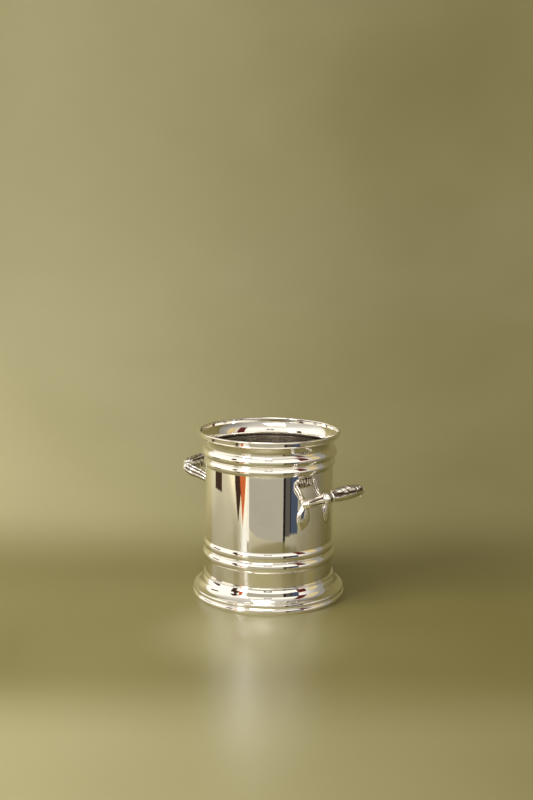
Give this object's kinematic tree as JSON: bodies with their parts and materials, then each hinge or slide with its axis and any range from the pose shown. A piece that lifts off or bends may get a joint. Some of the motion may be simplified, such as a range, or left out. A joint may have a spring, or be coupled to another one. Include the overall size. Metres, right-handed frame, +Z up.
{
  "type": "champagne bucket",
  "caption": "Round footed bucket with a flared mouth, raised reeds and two fixed leaf-cast side handles, for chilling a bottle in ice.",
  "frame": {"origin": "under the bucket's axis, on the flat underside of the foot wire, which is the surface the bucket stands on", "axes": "+Z up along the bucket's axis; +X through the middle of the right handle; -Y is the side called front"},
  "size_m": [0.2796, 0.1962, 0.211],
  "materials": {
    "silver_plate": "hand-polished silver plate with fine wipe marks",
    "silver_inside": "spun silver plate, softly worn by ice",
    "cast_silver": "cast and chased silver plate, darker in the recesses"
  },
  "bodies": {
    "root": {"body_wall": "silver_plate", "mouth_flare": "silver_plate", "rim_wire": "silver_plate", "upper_reed_large": "silver_plate", "upper_reed_small": "silver_plate", "lower_reed_small": "silver_plate", "lower_reed_large": "silver_plate", "foot_skirt": "silver_plate", "foot_band": "silver_plate", "foot_wire": "silver_plate", "body_bottom": "silver_inside", "right_handle_leaf_grip": "cast_silver", "right_handle_front_pad": "cast_silver", "right_handle_front_arm": "cast_silver", "right_handle_front_knop": "cast_silver", "right_handle_back_pad": "cast_silver", "right_handle_back_arm": "cast_silver", "right_handle_back_knop": "cast_silver", "left_handle_leaf_grip": "cast_silver", "left_handle_front_pad": "cast_silver", "left_handle_front_arm": "cast_silver", "left_handle_front_knop": "cast_silver", "left_handle_back_pad": "cast_silver", "left_handle_back_arm": "cast_silver", "left_handle_back_knop": "cast_silver"}
  },
  "joints": []
}
